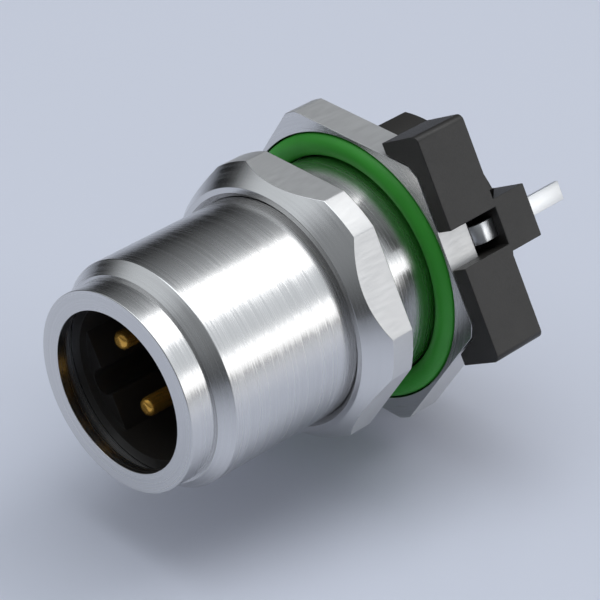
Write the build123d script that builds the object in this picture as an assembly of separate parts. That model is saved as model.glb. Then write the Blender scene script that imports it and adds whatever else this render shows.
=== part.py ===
from build123d import *
import math
import os

# Circular panel connector, male, with a 12 mm barrel. The axis is Y: the mating face looks along -Y and the
# board side along +Y. Z is up and a flat of the flange faces it. The origin is on the axis, in the plane of
# the flange face that seats on the panel. Stations named "_from_mouth" are counted back from the mating face.

# Shell: one turned piece with spigot, threaded barrel and hexagonal flange
MOUTH_TO_SEAT = 15.9
SPIGOT_R = 5.3
SPIGOT_LENGTH = 1.5
SHOULDER_R = 5.45
THREAD_START_FROM_MOUTH = 2.2
BARREL_R = 6.0
LIP_R = 4.25
LIP_LENGTH = 0.6
SHELL_BORE_R = 4.83
MOUTH_EDGE_BREAK = 0.08
FLANGE_ACROSS_FLATS = 15.0
FLANGE_CORNER_R = 8.45
FLANGE_THICKNESS = 1.95
SEAL_GROOVE_R = 7.32
SEAL_GROOVE_DEPTH = 0.82

# Lock nut: hexagon with one long turned cone towards the mating face
NUT_FRONT_FROM_MOUTH = 10.05
NUT_THICKNESS = 2.7
NUT_ACROSS_FLATS = 14.0
NUT_CORNER_R = 7.5
NUT_CONE_START_R = 6.6
NUT_CONE_LENGTH = 1.27
NUT_BORE_R = 6.05
NUT_COUNTERSINK = 0.25

# Seals
PANEL_SEAL_RING_R = 6.65
PANEL_SEAL_SECTION_R = 0.6
PANEL_SEAL_SUNK = 0.2
PANEL_SEAL_FLATS = 12
INNER_SEAL_R = 4.81
INNER_SEAL_BORE_R = 4.06
INNER_SEAL_WIDTH = 0.8
INNER_SEAL_FROM_MOUTH = 13.0
INNER_SEAL_GROOVE_R = 4.04
INNER_SEAL_GROOVE_WIDTH = 1.0

# Contact carrier: keyed sleeve inside the shell
SLEEVE_R = 4.8
SLEEVE_RIM_FROM_MOUTH = 1.4
SOCKET_R = 4.2
SOCKET_FLOOR_FROM_MOUTH = 9.0
KEY_LEDGE_FROM_MOUTH = 1.85
KEY_FLAT_FROM_AXIS = 3.25
KEYWAY_R = 0.7
KEYWAY_CENTRE_FROM_AXIS = 3.47

# Contact carrier: block behind the flange with two arms that hold it
CARRIER_TILT = 60.0
ARM_REACH = 8.5
ARM_INNER_REACH = 5.9
ARM_HALF_WIDTH = 5.95
ARM_EDGE_R = 0.35
ARM_DEPTH = 3.3
POCKET_GAP = 0.07
HUB_R = 6.53
HUB_END = 5.4
BOARD_SEAT_BEHIND_PANEL_SEAT = 5.5
FOOT_HALF_WIDTH = 1.4
FOOT_INNER_REACH = 5.0
HUB_NOTCH_HALF_WIDTH = 2.1
HUB_NOTCH_FLOOR = 5.4
BOARD_RECESS_R = 4.9
BOARD_RECESS_DEPTH = 0.6
WINDOW_HALF_WIDTH = 1.0
WINDOW_DEPTH = 3.25
WINDOW_FLOOR = 6.4

# Contact pins
PIN_CIRCLE_R = 2.5
PIN_R = 0.5
PIN_TIP_FROM_MOUTH = 2.35
PIN_TIP_ROUNDING = 0.3
TAIL_R = 0.3
TAIL_END_FROM_MOUTH = 24.2
SEATING_GAP = 0.01

# Shield contacts: bent strips that touch the back of the flange and end as flat board pins
STRIP_THICKNESS = 0.3
STRIP_WIDTH = 1.0
STRIP_REACH = 7.77
STRIP_BEND_R = 0.5
STRIP_TOE_REACH = 6.7
STRIP_SLOT_GAP = 0.02

mouth = -MOUTH_TO_SEAT


def section(points):
    """Solid of revolution about Y from (radius, y) points."""
    with BuildPart() as solid:
        with BuildSketch(Plane.XY):
            with BuildLine():
                Polyline(*points, close=True)
            make_face()
        revolve(axis=Axis.Y)
    return solid.part


def crossways(y, tilt=90.0):
    """Plane across the axis at y, facing +Y. Its local x points tilt degrees round from Z towards X."""
    turn = math.radians(tilt)
    return Plane(origin=(0, y, 0), x_dir=(math.sin(turn), 0, math.cos(turn)), z_dir=(0, 1, 0))


def hexagon_prism(across_flats, front, back):
    """Hexagonal prism about Y with flats facing up and down."""
    with BuildPart() as prism:
        with BuildSketch(crossways(front)):
            RegularPolygon(across_flats / 2, 6, major_radius=False)
        extrude(amount=back - front)
    return prism.part


def block(front, back, low_p, high_p, half_q):
    """Box in the carrier's own directions: p along the arms and q across them."""
    with BuildPart() as box:
        with BuildSketch(crossways(front, CARRIER_TILT)):
            with Locations(((low_p + high_p) / 2, 0)):
                Rectangle(high_p - low_p, 2 * half_q)
        extrude(amount=back - front)
    return box.part


def turned_about(solid):
    """The same solid half a turn round the axis."""
    return solid.rotate(Axis.Y, 180)


def flange_outline(front, back, gap=0.0):
    """Flange form with turned corners, grown by gap all round."""
    hexagon = hexagon_prism(FLANGE_ACROSS_FLATS + 2 * gap, front, back)
    return hexagon & section(
        [(0, front), (FLANGE_CORNER_R + gap, front), (FLANGE_CORNER_R + gap, back), (0, back)]
    )


def make_shell():
    """Turned brass shell: mouth lip, spigot, barrel and hexagonal flange with its seal groove."""
    front_turning = section([
        (0, mouth),
        (SPIGOT_R - MOUTH_EDGE_BREAK, mouth),
        (SPIGOT_R, mouth + MOUTH_EDGE_BREAK),
        (SPIGOT_R, mouth + SPIGOT_LENGTH),
        (SHOULDER_R, mouth + SPIGOT_LENGTH),
        (BARREL_R, mouth + THREAD_START_FROM_MOUTH),
        (BARREL_R, SEAL_GROOVE_DEPTH),
        (0, SEAL_GROOVE_DEPTH),
    ])
    groove = section([
        (BARREL_R, 0),
        (SEAL_GROOVE_R, 0),
        (SEAL_GROOVE_R, SEAL_GROOVE_DEPTH),
        (BARREL_R, SEAL_GROOVE_DEPTH),
    ])
    bore = section([
        (0, mouth),
        (LIP_R, mouth),
        (LIP_R, mouth + LIP_LENGTH),
        (SHELL_BORE_R, mouth + LIP_LENGTH),
        (SHELL_BORE_R, FLANGE_THICKNESS),
        (0, FLANGE_THICKNESS),
    ])
    return front_turning + (flange_outline(0, FLANGE_THICKNESS) - groove) - bore


def make_lock_nut():
    """Hexagonal lock nut with turned corners and a long cone on its front."""
    front = mouth + NUT_FRONT_FROM_MOUTH
    back = front + NUT_THICKNESS
    turning = section([
        (0, front),
        (NUT_CONE_START_R, front),
        (NUT_CORNER_R, front + NUT_CONE_LENGTH),
        (NUT_CORNER_R, back),
        (0, back),
    ])
    bore = section([
        (0, front),
        (NUT_BORE_R + NUT_COUNTERSINK, front),
        (NUT_BORE_R, front + NUT_COUNTERSINK),
        (NUT_BORE_R, back - NUT_COUNTERSINK),
        (NUT_BORE_R + NUT_COUNTERSINK, back),
        (0, back),
    ])
    return (hexagon_prism(NUT_ACROSS_FLATS, front, back) & turning) - bore


def make_panel_seal():
    """Panel seal ring, its round section drawn with narrow flats."""
    with BuildPart() as ring:
        with BuildSketch(Plane.XY):
            with Locations((PANEL_SEAL_RING_R, PANEL_SEAL_SUNK)):
                RegularPolygon(PANEL_SEAL_SECTION_R, PANEL_SEAL_FLATS)
        revolve(axis=Axis.Y)
    return ring.part


def make_inner_seal():
    """Square-cut seal ring in the groove round the carrier's sleeve."""
    middle = mouth + INNER_SEAL_FROM_MOUTH
    return section([
        (INNER_SEAL_BORE_R, middle - INNER_SEAL_WIDTH / 2),
        (INNER_SEAL_R, middle - INNER_SEAL_WIDTH / 2),
        (INNER_SEAL_R, middle + INNER_SEAL_WIDTH / 2),
        (INNER_SEAL_BORE_R, middle + INNER_SEAL_WIDTH / 2),
    ])


def keyed_socket():
    """Space that the mating plug fills: a round bore, and below a ledge a key flat with a U-shaped keyway."""
    rim = mouth + SLEEVE_RIM_FROM_MOUTH
    ledge = mouth + KEY_LEDGE_FROM_MOUTH
    floor = mouth + SOCKET_FLOOR_FROM_MOUTH
    with BuildPart() as space:
        with BuildSketch(crossways(rim)):
            Circle(SOCKET_R)
        extrude(amount=ledge - rim)
        with BuildSketch(crossways(ledge, CARRIER_TILT)):
            Circle(SOCKET_R)
            with Locations((-KEY_FLAT_FROM_AXIS - SOCKET_R, 0)):
                Rectangle(2 * SOCKET_R, 2 * SOCKET_R, mode=Mode.SUBTRACT)
            with Locations((-KEYWAY_CENTRE_FROM_AXIS, 0)):
                Circle(KEYWAY_R)
            with Locations((-KEYWAY_CENTRE_FROM_AXIS / 2, 0)):
                Rectangle(KEYWAY_CENTRE_FROM_AXIS, 2 * KEYWAY_R)
        extrude(amount=floor - ledge)
    return space.part


def arm_block():
    """The carrier's arm on the +p side, with its two long outer edges rounded."""
    with BuildPart() as arm:
        with BuildSketch(crossways(0, CARRIER_TILT)) as outline:
            with Locations(((ARM_INNER_REACH + ARM_REACH) / 2, 0)):
                Rectangle(ARM_REACH - ARM_INNER_REACH, 2 * ARM_HALF_WIDTH)
            fillet(outline.vertices().group_by(Axis.X)[-1], ARM_EDGE_R)
        extrude(amount=ARM_DEPTH)
    return arm.part


def make_carrier(pins, strip_slot):
    """Moulded carrier: keyed sleeve, hub, two arms round the flange and two feet on the board."""
    behind_flange = FLANGE_THICKNESS + SEATING_GAP
    seal_front = mouth + INNER_SEAL_FROM_MOUTH - INNER_SEAL_GROOVE_WIDTH / 2
    seal_back = seal_front + INNER_SEAL_GROOVE_WIDTH
    body = section([
        (0, mouth + SLEEVE_RIM_FROM_MOUTH),
        (SLEEVE_R, mouth + SLEEVE_RIM_FROM_MOUTH),
        (SLEEVE_R, seal_front),
        (INNER_SEAL_GROOVE_R, seal_front),
        (INNER_SEAL_GROOVE_R, seal_back),
        (SLEEVE_R, seal_back),
        (SLEEVE_R, behind_flange),
        (HUB_R, behind_flange),
        (HUB_R, HUB_END),
        (BOARD_RECESS_R, HUB_END),
        (BOARD_RECESS_R, HUB_END - BOARD_RECESS_DEPTH),
        (0, HUB_END - BOARD_RECESS_DEPTH),
    ])
    pocket = flange_outline(0, behind_flange, POCKET_GAP)
    foot = block(
        ARM_DEPTH, BOARD_SEAT_BEHIND_PANEL_SEAT, FOOT_INNER_REACH, ARM_REACH, FOOT_HALF_WIDTH
    )
    side = arm_block() - pocket + foot
    window = block(0, WINDOW_DEPTH, WINDOW_FLOOR, ARM_REACH, WINDOW_HALF_WIDTH)
    cuts = [window, strip_slot, hub_notch()]
    carrier = body + side + turned_about(side) - keyed_socket()
    for cut in cuts:
        carrier = carrier - cut - turned_about(cut)
    for pin in pins:
        carrier = carrier - pin
    return carrier


def hub_notch():
    """Notch in the hub's rim between the two feet."""
    with BuildPart() as notch:
        with BuildSketch(crossways(ARM_DEPTH, CARRIER_TILT)):
            with Locations((0, HUB_R)):
                Rectangle(2 * HUB_NOTCH_HALF_WIDTH, 2 * (HUB_R - HUB_NOTCH_FLOOR))
        extrude(amount=HUB_END - ARM_DEPTH)
    return notch.part


def pin_form(gap=0.0):
    """Turned contact pin on the axis: rounded mating end, shank and thinner solder tail."""
    tip = mouth + PIN_TIP_FROM_MOUTH
    tail_end = mouth + TAIL_END_FROM_MOUTH
    shank_end = HUB_END - BOARD_RECESS_DEPTH
    shank_r = PIN_R + gap
    tail_r = TAIL_R + gap
    rounding = PIN_TIP_ROUNDING
    with BuildPart() as pin:
        with BuildSketch(Plane.XY):
            with BuildLine():
                Line((0, tip), (shank_r - rounding, tip))
                RadiusArc((shank_r - rounding, tip), (shank_r, tip + rounding), -rounding)
                Polyline(
                    (shank_r, tip + rounding),
                    (shank_r, shank_end),
                    (tail_r, shank_end),
                    (tail_r, tail_end),
                    (0, tail_end),
                    (0, tip),
                )
            make_face()
        revolve(axis=Axis.Y)
    return pin.part


def around_pin_circle(solid, number):
    """Move a solid from the axis to one of the four places on the pin circle."""
    turn = math.radians(CARRIER_TILT - 45 + 90 * number)
    return Pos(PIN_CIRCLE_R * math.sin(turn), 0, PIN_CIRCLE_R * math.cos(turn)) * solid


def make_shield_contact():
    """Strip on the +p side: a toe behind the flange, one bend, and a leg that ends as a flat board pin."""
    toe_y = FLANGE_THICKNESS + SEATING_GAP + STRIP_THICKNESS / 2
    turn = math.radians(CARRIER_TILT)
    along_p = (math.sin(turn), 0, math.cos(turn))
    side_view = Plane(origin=(0, 0, 0), x_dir=along_p, z_dir=(-math.cos(turn), 0, math.sin(turn)))
    with BuildPart() as strip:
        with BuildSketch(side_view):
            with BuildLine():
                toe = Line((STRIP_TOE_REACH, toe_y), (STRIP_REACH - STRIP_BEND_R, toe_y))
                bend = JernArc(toe @ 1, (1, 0), STRIP_BEND_R, 90)
                Line(bend @ 1, (STRIP_REACH, mouth + TAIL_END_FROM_MOUTH))
            trace(line_width=STRIP_THICKNESS)
        extrude(amount=STRIP_WIDTH / 2, both=True)
    return strip.part


def strip_passage():
    """Slot in the foot that the shield strip is pushed through."""
    half = STRIP_THICKNESS / 2 + STRIP_SLOT_GAP
    return block(
        WINDOW_DEPTH - STRIP_SLOT_GAP,
        BOARD_SEAT_BEHIND_PANEL_SEAT,
        STRIP_REACH - half,
        STRIP_REACH + half,
        STRIP_WIDTH / 2 + STRIP_SLOT_GAP,
    )


def main():
    """Build every piece and write one file for each."""
    pin_holes = [around_pin_circle(pin_form(SEATING_GAP), number) for number in range(4)]
    pieces = {
        "shell": make_shell(),
        "lock_nut": make_lock_nut(),
        "panel_seal": make_panel_seal(),
        "inner_seal": make_inner_seal(),
        "contact_carrier": make_carrier(pin_holes, strip_passage()),
        "shield_contact_1": make_shield_contact(),
        "shield_contact_2": turned_about(make_shield_contact()),
    }
    for number in range(4):
        pieces[f"contact_pin_{number + 1}"] = around_pin_circle(pin_form(), number)
    for name, solid in pieces.items():
        export_step(solid, f"parts/{name}.step")


os.makedirs("parts", exist_ok=True)
main()
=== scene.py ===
import math

import bmesh
import bpy
from mathutils import Matrix, Vector


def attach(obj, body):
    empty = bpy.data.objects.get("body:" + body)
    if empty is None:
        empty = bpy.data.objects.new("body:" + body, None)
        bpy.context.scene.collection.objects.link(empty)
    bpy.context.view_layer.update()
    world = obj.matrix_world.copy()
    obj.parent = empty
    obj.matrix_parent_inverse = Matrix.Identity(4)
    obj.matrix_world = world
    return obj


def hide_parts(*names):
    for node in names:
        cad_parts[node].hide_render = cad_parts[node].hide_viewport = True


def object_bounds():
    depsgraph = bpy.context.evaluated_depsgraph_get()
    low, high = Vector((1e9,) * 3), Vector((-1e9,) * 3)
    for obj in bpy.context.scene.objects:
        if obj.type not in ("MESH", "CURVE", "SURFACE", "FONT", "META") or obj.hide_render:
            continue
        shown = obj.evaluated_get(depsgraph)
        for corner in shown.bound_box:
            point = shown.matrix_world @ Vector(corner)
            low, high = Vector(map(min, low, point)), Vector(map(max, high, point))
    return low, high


# Circular panel connector, male, with a 12 mm barrel. Meshes are built in millimetres in the frame of the
# solids (axis Y, mating face towards -Y, Z up) and scaled to metres at the end. Angles round the axis are
# counted from Z towards X.

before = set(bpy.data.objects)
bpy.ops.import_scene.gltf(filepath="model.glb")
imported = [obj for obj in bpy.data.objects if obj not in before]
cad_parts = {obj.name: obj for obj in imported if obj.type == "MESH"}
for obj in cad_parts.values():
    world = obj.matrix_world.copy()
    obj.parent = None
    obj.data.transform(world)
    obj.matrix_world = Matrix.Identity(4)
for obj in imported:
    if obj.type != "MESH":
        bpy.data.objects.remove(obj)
cad_low, cad_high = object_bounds()

MM = 0.001

# Shell
MOUTH = -15.9
SPIGOT_R = 5.3
SPIGOT_END = MOUTH + 1.5
SHOULDER_R = 5.45
THREAD_START = MOUTH + 2.2
BARREL_R = 6.0
LIP_R = 4.25
LIP_END = MOUTH + 0.6
SHELL_BORE_R = 4.83
FLANGE_ACROSS_FLATS = 15.0
FLANGE_CORNER_R = 8.45
FLANGE_BACK = 1.95
SEAL_GROOVE_R = 7.32
SEAL_GROOVE_DEPTH = 0.82

# Lock nut
NUT_FRONT = MOUTH + 10.05
NUT_BACK = NUT_FRONT + 2.7
NUT_ACROSS_FLATS = 14.0
NUT_CORNER_R = 7.5
NUT_CONE_START_R = 6.6
NUT_CONE_LENGTH = 1.27
NUT_BORE_R = 6.02
NUT_COUNTERSINK = 0.28

# Seals
PANEL_SEAL_RING_R = 6.65
PANEL_SEAL_SECTION_R = 0.6
PANEL_SEAL_SUNK = 0.2
INNER_SEAL_R = 4.81
INNER_SEAL_BORE_R = 4.06
INNER_SEAL_HALF_WIDTH = 0.4
INNER_SEAL_GROOVE_R = 4.04
INNER_SEAL_GROOVE_HALF_WIDTH = 0.5
INNER_SEAL_MIDDLE = MOUTH + 13.0

# Edge roundings of the turned pieces
KEEN_EDGE = 0.01
CRISP_EDGE = 0.02
BORE_EDGE = 0.03
RIM_EDGE = 0.04
SOFT_EDGE = 0.05
NUT_BACK_EDGE = 0.07
BROAD_EDGE = 0.1

# Contact carrier
SLEEVE_R = 4.8
SLEEVE_RIM = MOUTH + 1.4
SOCKET_R = 4.2
SOCKET_FLOOR = MOUTH + 9.0
KEY_LEDGE = MOUTH + 1.85
KEY_FLAT_FROM_AXIS = 3.25
KEY_FLAT_TURN = math.acos(KEY_FLAT_FROM_AXIS / SOCKET_R)
KEYWAY_R = 0.7
KEYWAY_CENTRE_FROM_AXIS = 3.47
CARRIER_TILT = math.radians(60)
ARM_REACH = 8.5
ARM_INNER_REACH = 5.9
ARM_HALF_WIDTH = 5.95
ARM_EDGE_R = 0.35
ARM_DEPTH = 3.3
POCKET_GAP = 0.07
HUB_R = 6.53
HUB_FRONT = FLANGE_BACK + 0.01
HUB_END = 5.4
BOARD_SEAT = 5.5
FOOT_HALF_WIDTH = 1.4
FOOT_INNER_REACH = 5.0
HUB_NOTCH_HALF_WIDTH = 2.1
HUB_NOTCH_FLOOR = 5.4
BOARD_RECESS_R = 4.9
BOARD_RECESS_FLOOR = HUB_END - 0.6
WINDOW_HALF_WIDTH = 1.0
WINDOW_DEPTH = 3.25
WINDOW_FLOOR = 6.4
MOULDED_EDGE = 0.05
SOCKET_EDGE_ROUNDING = 0.012
SOCKET_EDGES_END = SOCKET_FLOOR + 1.0

# Contact pins
PIN_COUNT = 4
PIN_SPACING = math.tau / PIN_COUNT
PIN_CIRCLE_R = 2.5
PIN_R = 0.5
PIN_TIP = MOUTH + 2.35
PIN_TIP_ROUNDING = 0.3
TAIL_R = 0.3
TAIL_END = MOUTH + 24.2
HOLE_GAP = 0.01

# Shield contacts
STRIP_THICKNESS = 0.3
STRIP_WIDTH = 1.0
STRIP_REACH = 7.77
STRIP_BEND_R = 0.5
STRIP_TOE_REACH = 6.7
STRIP_SLOT_GAP = 0.02
STRIP_SLOT_FRONT = 3.0
STRIP_EDGE = 0.02

# Small and large margins, for joining and cutting forms and for telling edges and faces apart
TRIM = 0.1
TOOL_MARGIN = 1.0

# Fineness of the meshes
SEGMENTS = 180
SMALL_SEGMENTS = 48
ROUNDING_STEPS = 4
ROUNDING_SUPPORT = 1.4
HEXAGON_CORNER_STEP_DEGREES = 0.25
HEXAGON_CORNER_STEPS = 3
HEXAGON_SOFTENING = 0.015
SOCKET_STEPS = 120
LEDGE_STEPS = 40
KEYWAY_STEPS = 24
STRIP_BEND_STEPS = 16
ARM_EDGE_STEPS = 8
BEVEL_STEPS = 3
SAME_POINT = 1e-5
SAME_POINT_AFTER_CUTS = 1e-4
SHARP_ANGLE = math.radians(40)
BEVEL_ANGLE = math.radians(25)
FLAT_ANGLE = math.radians(0.1)
FLAT_FACE_TILT = 0.2

# Colours of the part
NICKEL = (0.71, 0.705, 0.70)
GREEN_RUBBER = (0.04, 0.38, 0.03)
BLACK_RUBBER = (0.02, 0.02, 0.02)
BLACK_MOULDING = (0.027, 0.0245, 0.022)
GOLD = (0.95, 0.52, 0.10)
TIN = (0.75, 0.76, 0.77)

# Patterns in the materials; pitches count the repeats per metre
NOISE_RANGE = (0.3, 0.7)
LINE_NOISE_RANGE = (0.35, 0.65)
NOISE_MIDDLE = 0.5
ROUND_AXIS_PITCH = 60.0
BROAD_LINE_PITCH_SHARE = 0.4
BROAD_LINE_SHARE = 0.2
PATCH_PITCH = 400.0
MARK_PITCHES = (9000.0, 900.0, 9000.0)
DARKEST_MARK = 0.97
GRAIN_ROUGHNESS_SPREAD = 0.05
MARK_ROUGHNESS_SPREAD = 0.08
BUMP_DEPTH = 0.00001

# Floor, with a painted pool of light: its colour is pale round the part and darker further away
FLOOR_BELOW_PART = 0.00002
FLOOR_HALF_SIZE = 1.5
FLOOR_COLOUR = (0.76, 0.785, 0.885)
PAINTED_POOL_CENTRE = (-0.015, 0.011, -0.0093)
PAINTED_POOL_FADE = (0.03, 0.12)
PAINTED_POOL_FAR_SHADE = 0.65
FLOOR_ROUGHNESS = 0.28
FLOOR_SPECULAR = 0.15

# Studio surround; each panel is a direction, inner and outer angles in degrees and the light it adds
BARREL_REFLECTION_BACK = 0.613
SKY_HEIGHTS = (0.0, 0.75)
SKY_LIGHT = (0.07, 0.30)
SKY_LEAST_LIGHT = 0.02
SKY_COLOUR = (0.90, 0.95, 1.0, 1.0)
SKY_PANELS = [
    ((-0.80, 0.58, 0.10), 25.0, 50.0, -0.12),
    ((-0.50, -0.36, 0.79), 10.0, 44.0, 0.45),
    ((-0.02, 0.10, 1.0), 10.0, 31.0, 1.8),
    ((0.58, BARREL_REFLECTION_BACK, 0.53), 14.0, 30.0, 0.55),
]

# Camera
LENS_MM = 169.28
SENSOR_MM = 36
NEAREST_SEEN = 0.005
FARTHEST_SEEN = 10
CAMERA_PLACE = (0.08370, -0.08798, 0.07711)
CAMERA_RIGHT = (0.70912, 0.70508, 0.00298)
CAMERA_UP = (-0.38685, 0.38553, 0.83769)
CAMERA_BACK = (0.58949, -0.59518, 0.54614)


def outline_with_arcs(corners):
    """Closed outline from (x, y, rounding) corners, with a support point beside each arc."""
    outline = []
    for index, (x, y, rounding) in enumerate(corners):
        corner = Vector((x, y))
        if rounding == 0:
            outline.append(corner)
            continue
        before = (Vector(corners[index - 1][:2]) - corner).normalized()
        after = (Vector(corners[(index + 1) % len(corners)][:2]) - corner).normalized()
        half_angle = before.angle(after) / 2
        reach = rounding / math.tan(half_angle)
        centre = corner + (before + after).normalized() * rounding / math.sin(half_angle)
        first = corner + before * reach - centre
        last = corner + after * reach - centre
        outline.append(corner + before * reach * ROUNDING_SUPPORT)
        for step in range(ROUNDING_STEPS + 1):
            outline.append(centre + first.lerp(last, step / ROUNDING_STEPS).normalized() * rounding)
        outline.append(corner + after * reach * ROUNDING_SUPPORT)
    return outline


def mesh_object(name, points, faces):
    """Object with a mesh whose doubled points are merged and whose faces are turned outwards."""
    mesh = bpy.data.meshes.new(name)
    mesh.from_pydata([tuple(point) for point in points], [], faces)
    work = bmesh.new()
    work.from_mesh(mesh)
    bmesh.ops.remove_doubles(work, verts=work.verts, dist=SAME_POINT)
    loose = [edge for edge in work.edges if not edge.link_faces]
    bmesh.ops.delete(work, geom=loose, context="EDGES")
    bmesh.ops.recalc_face_normals(work, faces=work.faces)
    work.to_mesh(mesh)
    work.free()
    made = bpy.data.objects.new(name, mesh)
    bpy.context.scene.collection.objects.link(made)
    return made


def all_round(segments=SEGMENTS):
    """Evenly spaced angles round the axis."""
    return [math.tau * index / segments for index in range(segments)]


def round_hexagon(across_flats, corner_r):
    """Angles round the axis, with more of them where the flats run into the turned corners."""
    half_flat = math.acos(across_flats / 2 / corner_r)
    steps = range(-HEXAGON_CORNER_STEPS, HEXAGON_CORNER_STEPS + 1)
    angles = set(all_round())
    for flat in range(6):
        for side in (-1, 1):
            edge = math.pi / 3 * flat + side * half_flat
            for step in steps:
                angles.add((edge + math.radians(HEXAGON_CORNER_STEP_DEGREES * step)) % math.tau)
    return sorted(angles)


def hexagon_r(angle, across_flats, corner_r):
    """Distance from the axis to a hexagon with turned corners and softened edges between them."""
    off_flat = (angle + math.pi / 6) % (math.pi / 3) - math.pi / 6
    flat_r = across_flats / 2 / math.cos(off_flat)
    near = max(HEXAGON_SOFTENING - abs(flat_r - corner_r), 0) / HEXAGON_SOFTENING
    return min(flat_r, corner_r) - near * near * HEXAGON_SOFTENING / 4


def turned(name, corners_at, angles):
    """Closed surface round the axis; corners_at(angle) gives its (radius, y, rounding) corners."""
    outlines = [outline_with_arcs(corners_at(angle)) for angle in angles]
    length = len(outlines[0])
    points = []
    for angle, outline in zip(angles, outlines):
        points += [(p.x * math.sin(angle), p.y, p.x * math.cos(angle)) for p in outline]
    faces = []
    for row in range(len(angles)):
        here = row * length
        there = (row + 1) % len(angles) * length
        for column in range(length):
            following = (column + 1) % length
            faces.append((here + column, here + following, there + following, there + column))
    return mesh_object(name, points, faces)


def in_carrier(p, q, y):
    """Point from the carrier's own directions: p along its arms, q across them."""
    along = (math.sin(CARRIER_TILT), math.cos(CARRIER_TILT))
    return (p * along[0] + q * along[1], y, p * along[1] - q * along[0])


def prism(name, outline, front, back):
    """Solid between two stations along the axis, from a closed outline of (p, q) points."""
    points = [in_carrier(p, q, y) for y in (front, back) for p, q in outline]
    count = len(outline)
    faces = [tuple(range(count)), tuple(range(count, 2 * count))]
    faces += [(i, (i + 1) % count, count + (i + 1) % count, count + i) for i in range(count)]
    return mesh_object(name, points, faces)


def block(name, low_p, high_p, half_q, front, back):
    """Box in the carrier's own directions."""
    outline = [(low_p, -half_q), (high_p, -half_q), (high_p, half_q), (low_p, half_q)]
    return prism(name, outline, front, back)


def mesh_after_modifiers(piece):
    """Replace the piece's mesh by what its modifiers make of it."""
    bpy.context.view_layer.update()
    evaluated = piece.evaluated_get(bpy.context.evaluated_depsgraph_get())
    mesh = bpy.data.meshes.new_from_object(evaluated)
    piece.modifiers.clear()
    piece.data = mesh


def combine(piece, tool, operation):
    """Add the tool to the piece or cut it away, and delete the tool."""
    boolean = piece.modifiers.new("combine", "BOOLEAN")
    boolean.operation = operation
    boolean.solver = "EXACT"
    boolean.object = tool
    mesh_after_modifiers(piece)
    bpy.data.objects.remove(tool)


def turned_about(piece, name):
    """Copy of the piece half a turn round the axis."""
    copy = piece.copy()
    copy.name = name
    copy.data = piece.data.copy()
    copy.data.transform(Matrix.Rotation(math.pi, 4, "Y"))
    bpy.context.scene.collection.objects.link(copy)
    return copy


def bevel_edges(piece, width, share_at=lambda _y: 1.0):
    """Round the piece's sharp edges, by the share of the width that share_at gives for their station."""
    work = bmesh.new()
    work.from_mesh(piece.data)
    bmesh.ops.remove_doubles(work, verts=work.verts, dist=SAME_POINT_AFTER_CUTS)
    bmesh.ops.dissolve_limit(work, angle_limit=FLAT_ANGLE, verts=work.verts, edges=work.edges)
    weight = work.edges.layers.float.new("bevel_weight_edge")
    for edge in work.edges:
        if edge.is_manifold and edge.calc_face_angle() > BEVEL_ANGLE:
            edge[weight] = share_at(max(vert.co.y for vert in edge.verts))
    work.to_mesh(piece.data)
    work.free()
    bevel = piece.modifiers.new("edges", "BEVEL")
    bevel.width = width
    bevel.segments = BEVEL_STEPS
    bevel.limit_method = "WEIGHT"
    bevel.use_clamp_overlap = False
    mesh_after_modifiers(piece)


def close_slivers(piece):
    """Close the sliver that the rounding leaves open where three cut faces meet at a thin angle."""
    work = bmesh.new()
    work.from_mesh(piece.data)
    bmesh.ops.holes_fill(work, edges=[edge for edge in work.edges if edge.is_boundary], sides=0)
    bmesh.ops.recalc_face_normals(work, faces=work.faces)
    work.to_mesh(piece.data)
    work.free()


def mill_flats(piece, least_r, material):
    """Give the milled material to the outer faces that run along the axis, beyond a radius."""
    piece.data.materials.append(material)
    for face in piece.data.polygons:
        distance = Vector((face.center.x, face.center.z)).length
        if distance > least_r * MM and abs(face.normal.y) < FLAT_FACE_TILT:
            face.material_index = 1


def finish_piece(piece, body, slot, material, *nodes):
    """Scale the piece to metres, give it its material, tie it to its body and hide the solids it stands in
    for.
    """
    piece.data.transform(Matrix.Scale(MM, 4))
    piece.data.shade_smooth()
    piece.data.set_sharp_from_angle(angle=SHARP_ANGLE)
    piece.data.materials.clear()
    piece.data.materials.append(material)
    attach(piece, body)
    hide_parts(*nodes)


def shell_corners(angle):
    """The shell's outline at one angle round the axis."""
    flange_r = hexagon_r(angle, FLANGE_ACROSS_FLATS, FLANGE_CORNER_R)
    return [
        (LIP_R, MOUTH, BORE_EDGE),
        (SPIGOT_R, MOUTH, RIM_EDGE),
        (SPIGOT_R, SPIGOT_END, KEEN_EDGE),
        (SHOULDER_R, SPIGOT_END, CRISP_EDGE),
        (BARREL_R, THREAD_START, BROAD_EDGE),
        (BARREL_R, SEAL_GROOVE_DEPTH, SOFT_EDGE),
        (SEAL_GROOVE_R, SEAL_GROOVE_DEPTH, BROAD_EDGE),
        (SEAL_GROOVE_R, 0, CRISP_EDGE),
        (flange_r, 0, CRISP_EDGE),
        (flange_r, FLANGE_BACK, CRISP_EDGE),
        (SHELL_BORE_R, FLANGE_BACK, SOFT_EDGE),
        (SHELL_BORE_R, LIP_END, BORE_EDGE),
        (LIP_R, LIP_END, BORE_EDGE),
    ]


def make_shell(material, milled):
    """Turned shell with mouth lip, spigot, barrel and hexagonal flange."""
    piece = turned("turned_shell", shell_corners, round_hexagon(FLANGE_ACROSS_FLATS, FLANGE_CORNER_R))
    finish_piece(piece, "connector", "nickel_turned", material, "shell")
    mill_flats(piece, FLANGE_ACROSS_FLATS / 2 - TRIM, milled)


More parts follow.
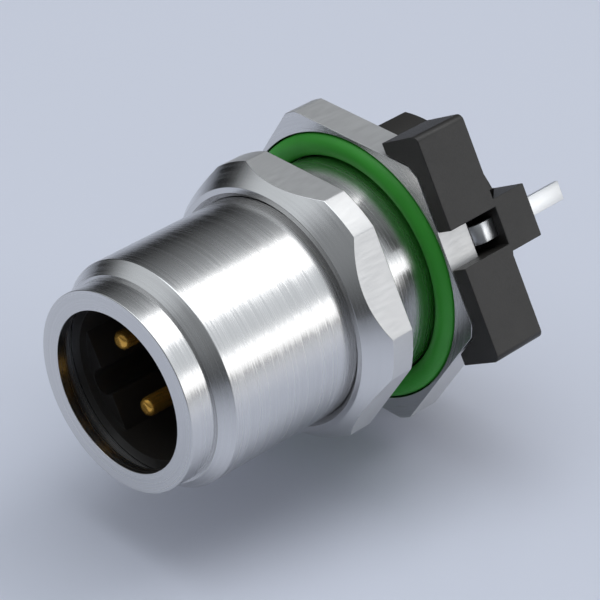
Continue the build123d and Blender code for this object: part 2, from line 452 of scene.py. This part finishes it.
def nut_corners(angle):
    """The lock nut's outline at one angle round the axis."""
    outer_r = hexagon_r(angle, NUT_ACROSS_FLATS, NUT_CORNER_R)
    cone_share = (outer_r - NUT_CONE_START_R) / (NUT_CORNER_R - NUT_CONE_START_R)
    sunk_r = NUT_BORE_R + NUT_COUNTERSINK
    return [
        (sunk_r, NUT_FRONT, BORE_EDGE),
        (NUT_CONE_START_R, NUT_FRONT, RIM_EDGE),
        (outer_r, NUT_FRONT + cone_share * NUT_CONE_LENGTH, SOFT_EDGE),
        (outer_r, NUT_BACK, NUT_BACK_EDGE),
        (sunk_r, NUT_BACK, BORE_EDGE),
        (NUT_BORE_R, NUT_BACK - NUT_COUNTERSINK, BORE_EDGE),
        (NUT_BORE_R, NUT_FRONT + NUT_COUNTERSINK, BORE_EDGE),
    ]


def make_lock_nut(material, milled):
    """Hexagonal lock nut with its long front cone."""
    piece = turned("hex_lock_nut", nut_corners, round_hexagon(NUT_ACROSS_FLATS, NUT_CORNER_R))
    finish_piece(piece, "nut", "nickel_nut", material, "lock_nut")
    mill_flats(piece, NUT_ACROSS_FLATS / 2 - TRIM, milled)


def make_panel_seal(material):
    """Round-section ring in the flange face."""
    section = []
    for turn in all_round(SMALL_SEGMENTS):
        radius = PANEL_SEAL_RING_R + PANEL_SEAL_SECTION_R * math.cos(turn)
        section.append((radius, PANEL_SEAL_SUNK + PANEL_SEAL_SECTION_R * math.sin(turn), 0))
    piece = turned("green_seal_ring", lambda _angle: section, all_round())
    finish_piece(piece, "connector", "seal_green", material, "panel_seal")


def make_inner_seal(material):
    """Square-cut ring between sleeve and shell."""
    front = INNER_SEAL_MIDDLE - INNER_SEAL_HALF_WIDTH
    back = INNER_SEAL_MIDDLE + INNER_SEAL_HALF_WIDTH
    corners = [
        (INNER_SEAL_BORE_R, front, SOFT_EDGE),
        (INNER_SEAL_R, front, SOFT_EDGE),
        (INNER_SEAL_R, back, SOFT_EDGE),
        (INNER_SEAL_BORE_R, back, SOFT_EDGE),
    ]
    piece = turned("inner_seal_ring", lambda _angle: corners, all_round())
    finish_piece(piece, "connector", "seal_black", material, "inner_seal")


def carrier_core():
    """Sleeve and hub of the carrier, one turned form, with a little too much hub in front."""
    seal_front = INNER_SEAL_MIDDLE - INNER_SEAL_GROOVE_HALF_WIDTH
    seal_back = INNER_SEAL_MIDDLE + INNER_SEAL_GROOVE_HALF_WIDTH
    corners = [
        (0, SLEEVE_RIM, 0),
        (SLEEVE_R, SLEEVE_RIM, 0),
        (SLEEVE_R, seal_front, 0),
        (INNER_SEAL_GROOVE_R, seal_front, 0),
        (INNER_SEAL_GROOVE_R, seal_back, 0),
        (SLEEVE_R, seal_back, 0),
        (SLEEVE_R, HUB_FRONT - TRIM, 0),
        (HUB_R, HUB_FRONT - TRIM, 0),
        (HUB_R, HUB_END, 0),
        (BOARD_RECESS_R, HUB_END, 0),
        (BOARD_RECESS_R, BOARD_RECESS_FLOOR, 0),
        (0, BOARD_RECESS_FLOOR, 0),
    ]
    return turned("moulded_carrier", lambda _angle: corners, all_round())


def round_arm_edges(side):
    """Round the two long outer edges of the arm."""
    corner = Vector((ARM_REACH, ARM_HALF_WIDTH)).length
    work = bmesh.new()
    work.from_mesh(side.data)
    outer = [
        edge for edge in work.edges
        if all(Vector((vert.co.x, vert.co.z)).length > corner - TRIM for vert in edge.verts)
        and abs(edge.verts[0].co.y - edge.verts[1].co.y) > ARM_DEPTH / 2
    ]
    bmesh.ops.bevel(
        work, geom=outer, offset=ARM_EDGE_R, segments=ARM_EDGE_STEPS, profile=0.5, affect="EDGES"
    )
    work.to_mesh(side.data)
    work.free()


def carrier_side():
    """One arm with its foot."""
    side = block("side", ARM_INNER_REACH, ARM_REACH + TRIM, ARM_HALF_WIDTH, 0, ARM_DEPTH)
    foot_front = ARM_DEPTH - TOOL_MARGIN
    foot = block("foot", FOOT_INNER_REACH, ARM_REACH + 2 * TRIM, FOOT_HALF_WIDTH, foot_front, BOARD_SEAT)
    combine(side, foot, "UNION")
    outside = (ARM_REACH, ARM_REACH + TOOL_MARGIN, 2 * ARM_HALF_WIDTH)
    combine(side, block("beyond", *outside, -TOOL_MARGIN, BOARD_SEAT + TOOL_MARGIN), "DIFFERENCE")
    round_arm_edges(side)
    return side


def cut_windows(carrier):
    """Cut each arm's window and the slot that its strip passes through."""
    half_slot = STRIP_THICKNESS / 2 + STRIP_SLOT_GAP
    slot_size = (STRIP_REACH - half_slot, STRIP_REACH + half_slot, STRIP_WIDTH / 2 + STRIP_SLOT_GAP)
    window_size = (WINDOW_FLOOR, ARM_REACH + TOOL_MARGIN, WINDOW_HALF_WIDTH)
    for far_arm in (False, True):
        window = block("window", *window_size, -TOOL_MARGIN, WINDOW_DEPTH)
        slot = block("slot", *slot_size, STRIP_SLOT_FRONT, BOARD_SEAT + TOOL_MARGIN)
        for tool in (window, slot):
            if far_arm:
                tool.data.transform(Matrix.Rotation(math.pi, 4, "Y"))
            combine(carrier, tool, "DIFFERENCE")


def flange_pocket():
    """Ring-shaped space that the flange takes up in the carrier."""
    across_flats = FLANGE_ACROSS_FLATS + 2 * POCKET_GAP
    corner_r = FLANGE_CORNER_R + POCKET_GAP
    inner_r = SLEEVE_R + HOLE_GAP

    def corners(angle):
        outer_r = hexagon_r(angle, across_flats, corner_r)
        return [(inner_r, -TRIM, 0), (outer_r, -TRIM, 0), (outer_r, HUB_FRONT, 0), (inner_r, HUB_FRONT, 0)]

    return turned("pocket", corners, round_hexagon(across_flats, corner_r))


def on_socket_bore(turn):
    """Point (p, q) of the socket's bore; the turn is counted from the key."""
    return (-SOCKET_R * math.cos(turn), SOCKET_R * math.sin(turn))


def keyway_outline():
    """Socket outline: a round bore cut off by the key flat, with a U-shaped keyway in the flat."""
    round_turn = math.tau - 2 * KEY_FLAT_TURN
    turns = [KEY_FLAT_TURN + round_turn * step / SOCKET_STEPS for step in range(SOCKET_STEPS + 1)]
    outline = [on_socket_bore(turn) for turn in turns]
    outline.append((-KEY_FLAT_FROM_AXIS, -KEYWAY_R))
    for step in range(KEYWAY_STEPS + 1):
        turn = math.pi * step / KEYWAY_STEPS
        outline.append((-KEYWAY_CENTRE_FROM_AXIS - KEYWAY_R * math.sin(turn), -KEYWAY_R * math.cos(turn)))
    outline.append((-KEY_FLAT_FROM_AXIS, KEYWAY_R))
    return outline


def ledge_outline():
    """Outline of the space over the key's ledge: the part of the bore that the key flat cuts off."""
    turns = [KEY_FLAT_TURN * (2 * step / LEDGE_STEPS - 1) for step in range(LEDGE_STEPS + 1)]
    half_chord = SOCKET_R * math.sin(KEY_FLAT_TURN) - KEYWAY_R
    inner_p = -KEYWAY_CENTRE_FROM_AXIS / 2
    return [on_socket_bore(turn) for turn in turns] + [(inner_p, half_chord), (inner_p, -half_chord)]


def cut_socket(carrier):
    """Cut the keyed socket and the space over its ledge into the sleeve."""
    above_rim = SLEEVE_RIM - TOOL_MARGIN
    combine(carrier, prism("socket", keyway_outline(), above_rim, SOCKET_FLOOR), "DIFFERENCE")
    combine(carrier, prism("ledge", ledge_outline(), above_rim, KEY_LEDGE), "DIFFERENCE")


def cut_hub_notches(carrier):
    """Cut the flat notch on each side of the hub, between the arms."""
    for sign in (-1, 1):
        outline = [
            (-HUB_NOTCH_HALF_WIDTH, sign * HUB_NOTCH_FLOOR),
            (HUB_NOTCH_HALF_WIDTH, sign * HUB_NOTCH_FLOOR),
            (HUB_NOTCH_HALF_WIDTH, sign * (HUB_R + TOOL_MARGIN)),
            (-HUB_NOTCH_HALF_WIDTH, sign * (HUB_R + TOOL_MARGIN)),
        ]
        combine(carrier, prism("notch", outline, ARM_DEPTH, BOARD_SEAT + TOOL_MARGIN), "DIFFERENCE")


def carrier_rounding(y):
    """Share of the full edge rounding: fine in the socket, none behind it, full from the flange on."""
    if y < SOCKET_EDGES_END:
        return SOCKET_EDGE_ROUNDING / MOULDED_EDGE
    return 1.0 if y > -MOULDED_EDGE else 0.0


def make_carrier(material):
    """Moulded carrier: keyed sleeve, hub, two arms and two feet in one piece."""
    carrier = carrier_core()
    side = carrier_side()
    combine(carrier, turned_about(side, "other_side"), "UNION")
    combine(carrier, side, "UNION")
    combine(carrier, flange_pocket(), "DIFFERENCE")
    cut_windows(carrier)
    cut_hub_notches(carrier)
    cut_socket(carrier)
    for number in range(PIN_COUNT):
        combine(carrier, pin("hole", number, HOLE_GAP), "DIFFERENCE")
    bevel_edges(carrier, MOULDED_EDGE, carrier_rounding)
    close_slivers(carrier)
    carrier.modifiers.new("flat_faces", "WEIGHTED_NORMAL")
    finish_piece(carrier, "connector", "carrier_black", material, "contact_carrier")


def pin(name, number, gap=0.0):
    """Turned contact pin at its place on the pin circle."""
    corners = [
        (0, PIN_TIP, 0),
        (PIN_R + gap, PIN_TIP, PIN_TIP_ROUNDING),
        (PIN_R + gap, BOARD_RECESS_FLOOR + gap, 0),
        (TAIL_R + gap, BOARD_RECESS_FLOOR + gap, 0),
        (TAIL_R + gap, TAIL_END, SOFT_EDGE),
        (0, TAIL_END, 0),
    ]
    piece = turned(name, lambda _angle: corners, all_round(SMALL_SEGMENTS))
    turn = CARRIER_TILT - PIN_SPACING / 2 + PIN_SPACING * number
    place = (PIN_CIRCLE_R * math.sin(turn), 0, PIN_CIRCLE_R * math.cos(turn))
    piece.data.transform(Matrix.Translation(place))
    return piece


def make_pins(material):
    """The contact pins."""
    for number in range(PIN_COUNT):
        piece = pin(f"gold_pin_{number + 1}", number)
        finish_piece(piece, "connector", "pin_gold", material, f"contact_pin_{number + 1}")


def strip_line():
    """Middle line of a strip as (p, y, direction) points: a toe behind the flange, one bend and a leg."""
    toe_y = HUB_FRONT + STRIP_THICKNESS / 2
    line = [(STRIP_TOE_REACH, toe_y, 0.0)]
    for step in range(STRIP_BEND_STEPS + 1):
        turn = math.pi / 2 * step / STRIP_BEND_STEPS
        p = STRIP_REACH - STRIP_BEND_R * (1 - math.sin(turn))
        line.append((p, toe_y + STRIP_BEND_R * (1 - math.cos(turn)), turn))
    line.append((STRIP_REACH, TAIL_END, math.pi / 2))
    return line


def make_shield_contacts(material):
    """The two strips; each leg ends as a flat board pin."""
    line = strip_line()
    points = []
    for p, y, direction in line:
        normal = (-math.sin(direction), math.cos(direction))
        for side, q in ((-1, -1), (1, -1), (1, 1), (-1, 1)):
            offset = side * STRIP_THICKNESS / 2
            points.append(in_carrier(p + normal[0] * offset, q * STRIP_WIDTH / 2, y + normal[1] * offset))
    faces = [(0, 1, 2, 3), tuple(len(points) - 4 + corner for corner in range(4))]
    for row in range(len(line) - 1):
        here = row * 4
        for corner in range(4):
            following = (corner + 1) % 4
            faces.append((here + corner, here + following, here + 4 + following, here + 4 + corner))
    first = mesh_object("tinned_strip_1", points, faces)
    bevel_edges(first, STRIP_EDGE)
    second = turned_about(first, "tinned_strip_2")
    for number, piece in enumerate((first, second)):
        finish_piece(piece, "connector", "strip_tinned", material, f"shield_contact_{number + 1}")


class Nodes:
    """A shader's node tree, with short ways to add and join nodes."""

    def __init__(self, tree):
        self.tree = tree

    def feed(self, node, name, value):
        """Set a node's input, from another node's output or to a value."""
        if isinstance(value, bpy.types.NodeSocket):
            self.tree.links.new(value, node.inputs[name])
        else:
            node.inputs[name].default_value = value

    def add(self, kind, inputs=None, **settings):
        """New node with its settings and inputs."""
        node = self.tree.nodes.new(kind)
        for name, value in settings.items():
            setattr(node, name, value)
        for name, value in (inputs or {}).items():
            self.feed(node, name, value)
        return node

    def math(self, operation, first, second=0.0):
        """Output of a Math node."""
        return self.add("ShaderNodeMath", {0: first, 1: second}, operation=operation).outputs[0]

    def vector(self, operation, first, second=(0.0, 0.0, 0.0)):
        """Vector output of a Vector Math node."""
        return self.add("ShaderNodeVectorMath", {0: first, 1: second}, operation=operation).outputs[0]

    def measure(self, operation, first, second=(0.0, 0.0, 0.0)):
        """Number that a Vector Math node finds: a length, a distance or a dot product."""
        node = self.add("ShaderNodeVectorMath", {0: first, 1: second}, operation=operation)
        return node.outputs["Value"]

    def scale(self, vector, factor):
        """Vector or colour times a number."""
        node = self.add("ShaderNodeVectorMath", {0: vector, "Scale": factor}, operation="SCALE")
        return node.outputs[0]

    def from_parts(self, x=0.0, y=0.0, z=0.0):
        """Vector from its three parts."""
        return self.add("ShaderNodeCombineXYZ", {0: x, 1: y, 2: z}).outputs[0]

    def place(self):
        """Place of the shaded point, in metres in the object's own frame."""
        return self.add("ShaderNodeTexCoord").outputs["Object"]

    def remap(self, value, old, new):
        """Value mapped smoothly from one range to another."""
        ranges = {"From Min": old[0], "From Max": old[1], "To Min": new[0], "To Max": new[1]}
        node = self.add("ShaderNodeMapRange", {"Value": value, **ranges}, interpolation_type="SMOOTHSTEP")
        return node.outputs["Result"]

    def noise(self, vector, scale, detail):
        """Noise at a vector, mostly inside NOISE_RANGE."""
        inputs = {"Vector": vector, "Scale": scale, "Detail": detail, "Roughness": 0.5}
        return self.add("ShaderNodeTexNoise", inputs).outputs["Fac"]

    def bump(self, height, strength):
        """Normal of a surface with a fine relief."""
        inputs = {"Height": height, "Strength": strength, "Distance": BUMP_DEPTH}
        return self.add("ShaderNodeBump", inputs).outputs[0]


def new_material(name):
    """Empty material with a Principled shader, its nodes and its shader node."""
    material = bpy.data.materials.new(name)
    material.use_nodes = True
    return material, Nodes(material.node_tree), material.node_tree.nodes["Principled BSDF"]


def turning_lines(nodes, pitch):
    """Noise in fine lines round the Y axis; pitch counts the lines along and away from the axis."""
    place = nodes.place()
    parts = nodes.add("ShaderNodeSeparateXYZ", {0: place}).outputs
    radius = nodes.measure("LENGTH", nodes.from_parts(x=parts[0], z=parts[2]))
    lines = nodes.from_parts(
        x=nodes.math("MULTIPLY", parts[0], ROUND_AXIS_PITCH),
        y=nodes.math("MULTIPLY", nodes.math("ADD", parts[1], radius), pitch),
        z=nodes.math("MULTIPLY", parts[2], ROUND_AXIS_PITCH),
    )
    return nodes.noise(lines, 1.0, 2.0)


def lean_round_axis(nodes, amount):
    """The surface normal, leaned round the axis by an amount that differs from line to line."""
    normal = nodes.add("ShaderNodeNewGeometry").outputs["Normal"]
    across = nodes.vector("CROSS_PRODUCT", normal, (0.0, 1.0, 0.0))
    return nodes.vector("NORMALIZE", nodes.vector("ADD", normal, nodes.scale(across, amount)))


def turned_metal(name, colour, roughness_range, lean, line_pitch, darkest_line):
    """Plated metal with fine turning lines round the axis."""
    material, nodes, shader = new_material(name)
    fine = turning_lines(nodes, line_pitch)
    broad = turning_lines(nodes, line_pitch * BROAD_LINE_PITCH_SHARE)
    fine_part = nodes.math("MULTIPLY", fine, 1 - BROAD_LINE_SHARE)
    both = nodes.math("ADD", fine_part, nodes.math("MULTIPLY", broad, BROAD_LINE_SHARE))
    amount = nodes.math("MULTIPLY", nodes.math("SUBTRACT", both, NOISE_MIDDLE), lean)
    shade = nodes.remap(fine, LINE_NOISE_RANGE, (darkest_line, 1.0))
    nodes.feed(shader, "Base Color", nodes.scale(colour, shade))
    nodes.feed(shader, "Roughness", nodes.remap(both, LINE_NOISE_RANGE, roughness_range))
    nodes.feed(shader, "Normal", lean_round_axis(nodes, amount))
    nodes.feed(shader, "Metallic", 1.0)
    return material


def grained(name, colour, roughness, grain_pitch, bump, spread):
    """Plastic or rubber with a fine moulded grain and slightly uneven colour."""
    material, nodes, shader = new_material(name)
    place = nodes.place()
    grain = nodes.noise(place, grain_pitch, 3.0)
    shade = nodes.remap(nodes.noise(place, PATCH_PITCH, 2.0), NOISE_RANGE, (1.0 - spread, 1.0 + spread))
    roughness_range = (roughness - GRAIN_ROUGHNESS_SPREAD, roughness + GRAIN_ROUGHNESS_SPREAD)
    nodes.feed(shader, "Base Color", nodes.scale(colour, shade))
    nodes.feed(shader, "Roughness", nodes.remap(grain, NOISE_RANGE, roughness_range))
    nodes.feed(shader, "Normal", nodes.bump(grain, bump))
    return material


def plated(name, colour, roughness, bump, metallic=1.0):
    """Smooth plated metal with faint drawing marks."""
    material, nodes, shader = new_material(name)
    marks = nodes.noise(nodes.vector("MULTIPLY", nodes.place(), MARK_PITCHES), 1.0, 3.0)
    roughness_range = (roughness * (1 - MARK_ROUGHNESS_SPREAD), roughness * (1 + MARK_ROUGHNESS_SPREAD))
    shade = nodes.remap(marks, NOISE_RANGE, (DARKEST_MARK, 1.0))
    nodes.feed(shader, "Base Color", nodes.scale(colour, shade))
    nodes.feed(shader, "Roughness", nodes.remap(marks, NOISE_RANGE, roughness_range))
    nodes.feed(shader, "Normal", nodes.bump(marks, bump))
    nodes.feed(shader, "Metallic", metallic)
    return material


def make_part():
    """Every piece of the connector with its material."""
    milled = plated("milled_nickel", NICKEL, roughness=0.42, bump=0.01, metallic=0.7)
    shell_lines = {"lean": 0.11, "line_pitch": 11000.0, "darkest_line": 0.93}
    nut_lines = {"lean": 0.05, "line_pitch": 6000.0, "darkest_line": 0.97}
    make_shell(turned_metal("turned_nickel", NICKEL, (0.21, 0.28), **shell_lines), milled)
    make_lock_nut(turned_metal("nut_nickel", NICKEL, (0.17, 0.23), **nut_lines), milled)
    rubber = {"roughness": 0.5, "grain_pitch": 9000.0, "bump": 0.15}
    make_panel_seal(grained("green_rubber", GREEN_RUBBER, spread=0.06, **rubber))
    make_inner_seal(grained("black_rubber", BLACK_RUBBER, spread=0.05, **rubber))
    moulding = {"roughness": 0.45, "grain_pitch": 12000.0, "bump": 0.25}
    make_carrier(grained("black_moulding", BLACK_MOULDING, spread=0.08, **moulding))
    make_pins(plated("gold_plate", GOLD, roughness=0.24, bump=0.02, metallic=0.75))
    make_shield_contacts(plated("tin_plate", TIN, roughness=0.3, bump=0.01))


def make_floor():
    """Large pale floor just under the part's lowest point, with a painted pool of light: its colour darkens
    away from the part.
    """
    level = (cad_low.z - FLOOR_BELOW_PART) / MM
    reach = FLOOR_HALF_SIZE / MM
    corners = [(-reach, -reach, level), (reach, -reach, level), (reach, reach, level), (-reach, reach, level)]
    floor = mesh_object("studio_floor", corners, [(0, 1, 2, 3)])
    floor.data.transform(Matrix.Scale(MM, 4))
    material, nodes, shader = new_material("floor_painted_pool")
    # Painted pool of light: the floor's colour darkens with distance from a point near the part
    distance = nodes.measure("DISTANCE", nodes.place(), PAINTED_POOL_CENTRE)
    shade = nodes.remap(distance, PAINTED_POOL_FADE, (1.0, PAINTED_POOL_FAR_SHADE))
    nodes.feed(shader, "Base Color", nodes.scale(FLOOR_COLOUR, shade))
    nodes.feed(shader, "Roughness", FLOOR_ROUGHNESS)
    nodes.feed(shader, "Specular IOR Level", FLOOR_SPECULAR)
    floor.data.materials.append(material)


def on_back_cone(turn):
    """Direction that the barrel's side reflects to the camera; the turn is round the axis, in degrees."""
    across = math.sqrt(1 - BARREL_REFLECTION_BACK ** 2)
    x = across * math.sin(math.radians(turn))
    z = across * math.cos(math.radians(turn))
    return Vector((x, BARREL_REFLECTION_BACK, z))


def soft_box(name, direction, width, height, radiance):
    """Area lamp one metre away, facing the part; width and height are angles in degrees."""
    lamp = bpy.data.lights.new(name, "AREA")
    lamp.shape = "RECTANGLE"
    lamp.size = 2 * math.tan(math.radians(width / 2))
    lamp.size_y = 2 * math.tan(math.radians(height / 2))
    lamp.energy = radiance * math.pi * lamp.size * lamp.size_y
    made = bpy.data.objects.new(name, lamp)
    side = Vector((0, 1, 0)).cross(direction).normalized()
    up = direction.cross(side)
    made.matrix_world = Matrix((side, up, direction)).transposed().to_4x4()
    made.location = direction
    bpy.context.scene.collection.objects.link(made)


def make_world():
    """Studio surround: dark near the horizon, brighter overhead, with soft bright panels and a dark one."""
    world = bpy.data.worlds.new("studio")
    bpy.context.scene.world = world
    world.use_nodes = True
    nodes = Nodes(world.node_tree)
    direction = nodes.add("ShaderNodeTexCoord").outputs["Generated"]
    height = nodes.add("ShaderNodeSeparateXYZ", {0: direction}).outputs[2]
    light = nodes.remap(height, SKY_HEIGHTS, SKY_LIGHT)
    for centre, inner, outer, added in SKY_PANELS:
        nearness = nodes.measure("DOT_PRODUCT", direction, Vector(centre).normalized())
        edges = (math.cos(math.radians(outer)), math.cos(math.radians(inner)))
        light = nodes.math("ADD", light, nodes.remap(nearness, edges, (0.0, added)))
    studio = world.node_tree.nodes["Background"]
    nodes.feed(studio, "Color", SKY_COLOUR)
    nodes.feed(studio, "Strength", nodes.math("MAXIMUM", light, SKY_LEAST_LIGHT))


def make_camera():
    """Camera at the photograph's viewing angle and framing."""
    camera = bpy.data.cameras.new("camera")
    camera.lens = LENS_MM
    camera.sensor_width = SENSOR_MM
    camera.clip_start = NEAREST_SEEN
    camera.clip_end = FARTHEST_SEEN
    made = bpy.data.objects.new("camera", camera)
    made.matrix_world = Matrix((CAMERA_RIGHT, CAMERA_UP, CAMERA_BACK)).transposed().to_4x4()
    made.location = CAMERA_PLACE
    bpy.context.scene.collection.objects.link(made)
    bpy.context.scene.camera = made


make_part()
make_floor()
soft_box("key_soft_box", on_back_cone(11.5), width=30.0, height=34.0, radiance=1.8)
soft_box("side_soft_box", on_back_cone(75.5), width=17.0, height=40.0, radiance=1.6)
make_world()
make_camera()
bpy.context.scene.view_settings.view_transform = "Standard"

bpy.context.view_layer.update()
